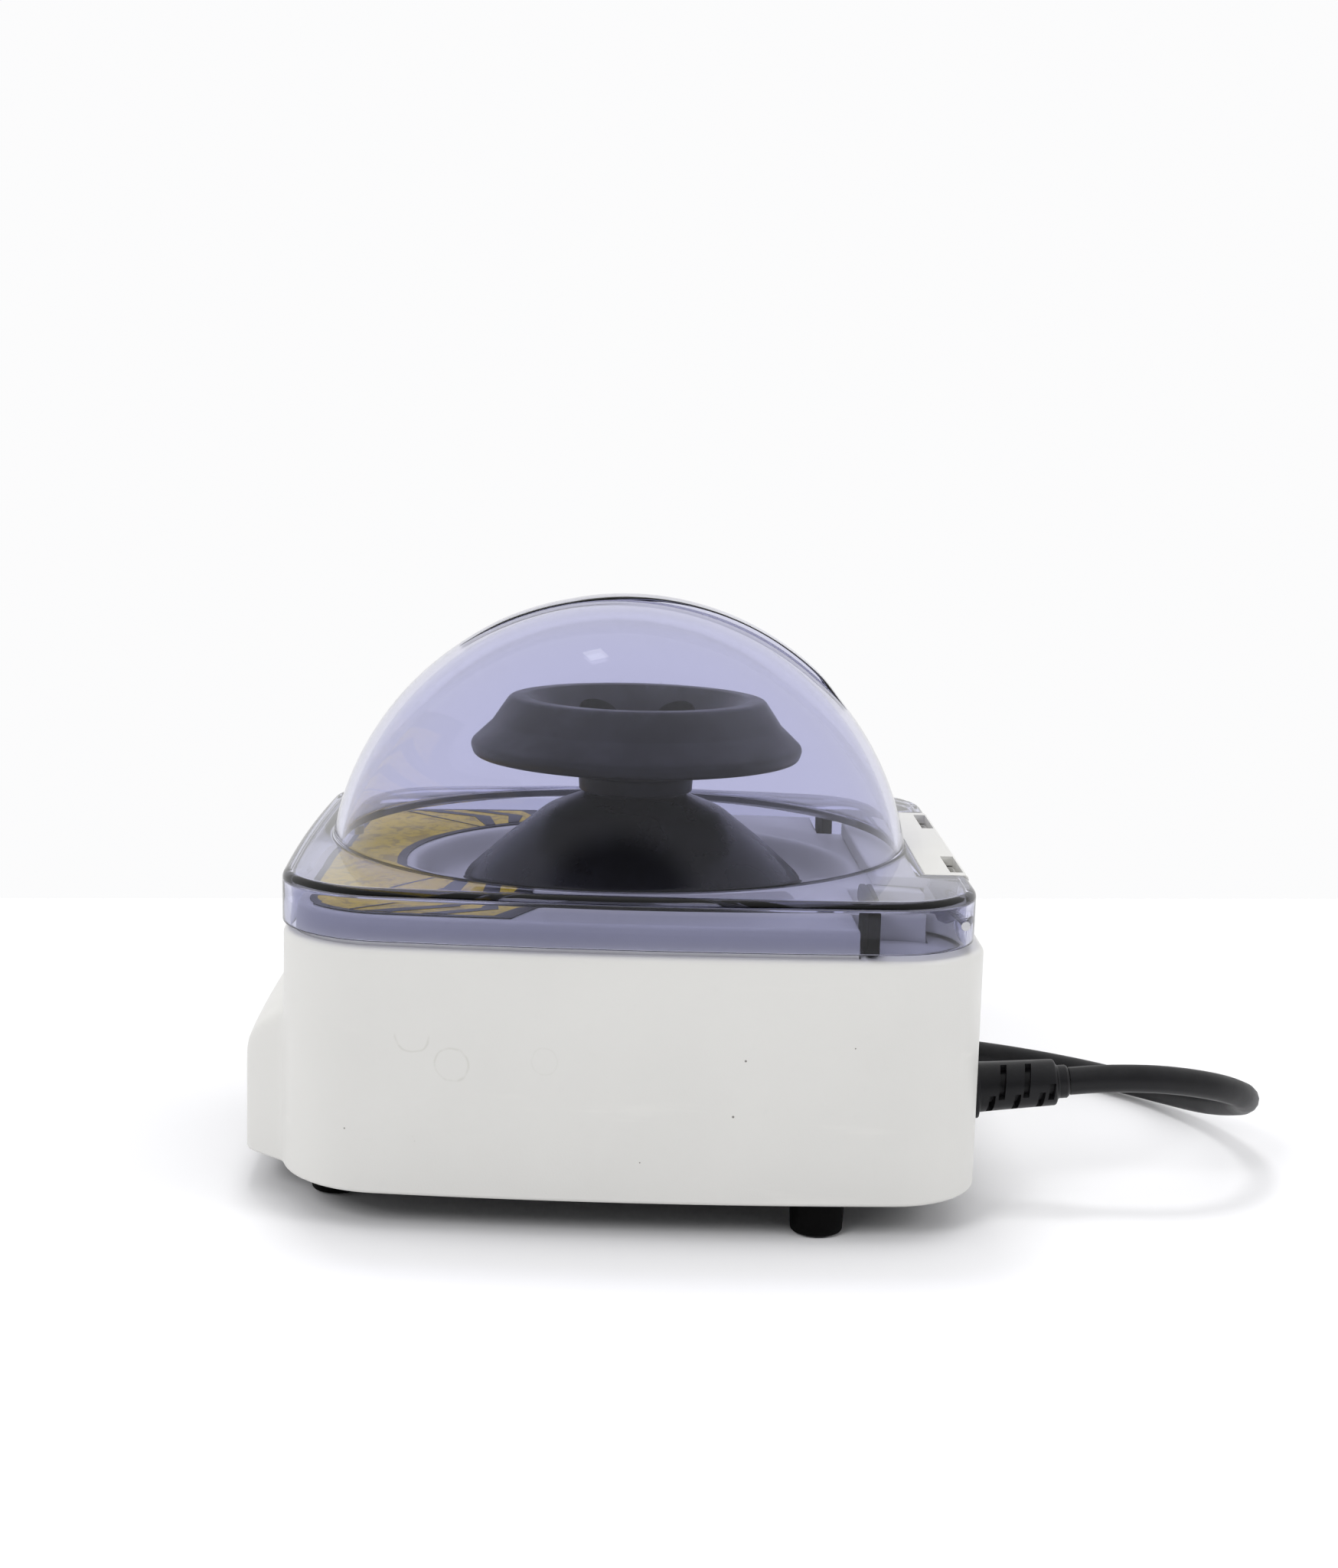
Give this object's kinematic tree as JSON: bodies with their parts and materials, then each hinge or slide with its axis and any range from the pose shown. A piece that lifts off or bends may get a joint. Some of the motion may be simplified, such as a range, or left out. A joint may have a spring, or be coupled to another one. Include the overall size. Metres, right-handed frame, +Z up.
{
  "type": "laboratory centrifuge",
  "caption": "Bench-top mini centrifuge: ivory box housing, hinged clear domed lid over a black fixed-angle rotor, power rocker, lid release, mains lead with plug.",
  "frame": {"origin": "on the table under the middle of the housing (bottom centre of the object without its cord)", "axes": "+X to the right seen from the front, +Y from the front panel to the hinge, +Z up"},
  "size_m": [0.2585, 0.2487, 0.1377],
  "materials": {
    "ivory": "warm ivory moulded plastic, fine matte texture",
    "steel": "bright steel",
    "black": "satin black moulded plastic",
    "rubber": "black rubber",
    "label_film": "yellow printed film with a black border",
    "tint": "clear smoky lavender moulded plastic, polished",
    "lid_clear": "clear smoky lavender moulded plastic, polished",
    "board": "green circuit board",
    "rotor_black": "satin black moulded plastic",
    "core": "laminated steel core",
    "copper": "enamelled copper wire"
  },
  "bodies": {
    "base": {"base_housing": "ivory", "board_bracket": "steel", "bottom_plate": "black", "capacitor_left": "black", "capacitor_right": "black", "chamber_deck": "ivory", "chamber_seal_left": "rubber", "chamber_seal_right": "rubber", "cord_coil": "rubber", "cord_tail": "rubber", "deck_label": "label_film", "foot_screw_front_left": "steel", "foot_screw_front_right": "steel", "foot_screw_rear_left": "steel", "foot_screw_rear_right": "steel", "front_panel": "black", "hinge_block": "ivory", "hinge_cover": "ivory", "hinge_pin_left": "steel", "hinge_pin_right": "steel", "motor_can": "steel", "motor_end_cap": "black", "motor_mount": "steel", "motor_shroud": "black", "mount_grommet_left": "rubber", "mount_grommet_rear": "rubber", "mount_grommet_right": "rubber", "mount_screw_left": "steel", "mount_screw_rear": "steel", "mount_screw_right": "steel", "plug_blade_left": "steel", "plug_blade_right": "steel", "plug_body": "black", "plug_ground_pin": "steel", "power_board": "board", "power_cord": "rubber", "reed_sensor": "black", "relay": "black", "rubber_foot_front_left": "rubber", "rubber_foot_front_right": "rubber", "rubber_foot_rear_left": "rubber", "rubber_foot_rear_right": "rubber", "strain_relief": "rubber", "switch_body": "black", "terminal_block": "black", "transformer_core": "core", "transformer_winding_front": "copper", "transformer_winding_rear": "copper"},
    "lid": {"lid_shell": "lid_clear", "lid_hinge_arm_left": "tint", "lid_hinge_arm_right": "tint", "lid_catch": "tint", "lid_magnet": "steel"},
    "rotor": {"rotor_disc": "rotor_black", "rotor_shaft": "steel", "rotor_washer": "steel", "rotor_nut": "black"},
    "rocker": {"power_rocker": "black"},
    "release": {"release_button": "ivory", "latch_arm": "black"}
  },
  "joints": [
    {"name": "lid_hinge", "type": "hinge", "parent": "base", "child": "lid", "pos_m": [0, 0.0794, 0.0712], "axis": [-1, 0, 0], "range_deg": [0, 85]},
    {"name": "rotor_spin", "type": "hinge", "parent": "base", "child": "rotor", "pos_m": [0, 0.0054, 0.1], "axis": [0, 0, 1], "continuous": true},
    {"name": "rocker_tilt", "type": "hinge", "parent": "base", "child": "rocker", "pos_m": [-0.016, -0.0803, 0.021], "axis": [-1, 0, 0], "range_deg": [0, 18]},
    {"name": "release_press", "type": "slide", "parent": "base", "child": "release", "axis": [0, 1, 0], "range_m": [0, 0.0025], "stiffness_N_per_m": 500}
  ]
}
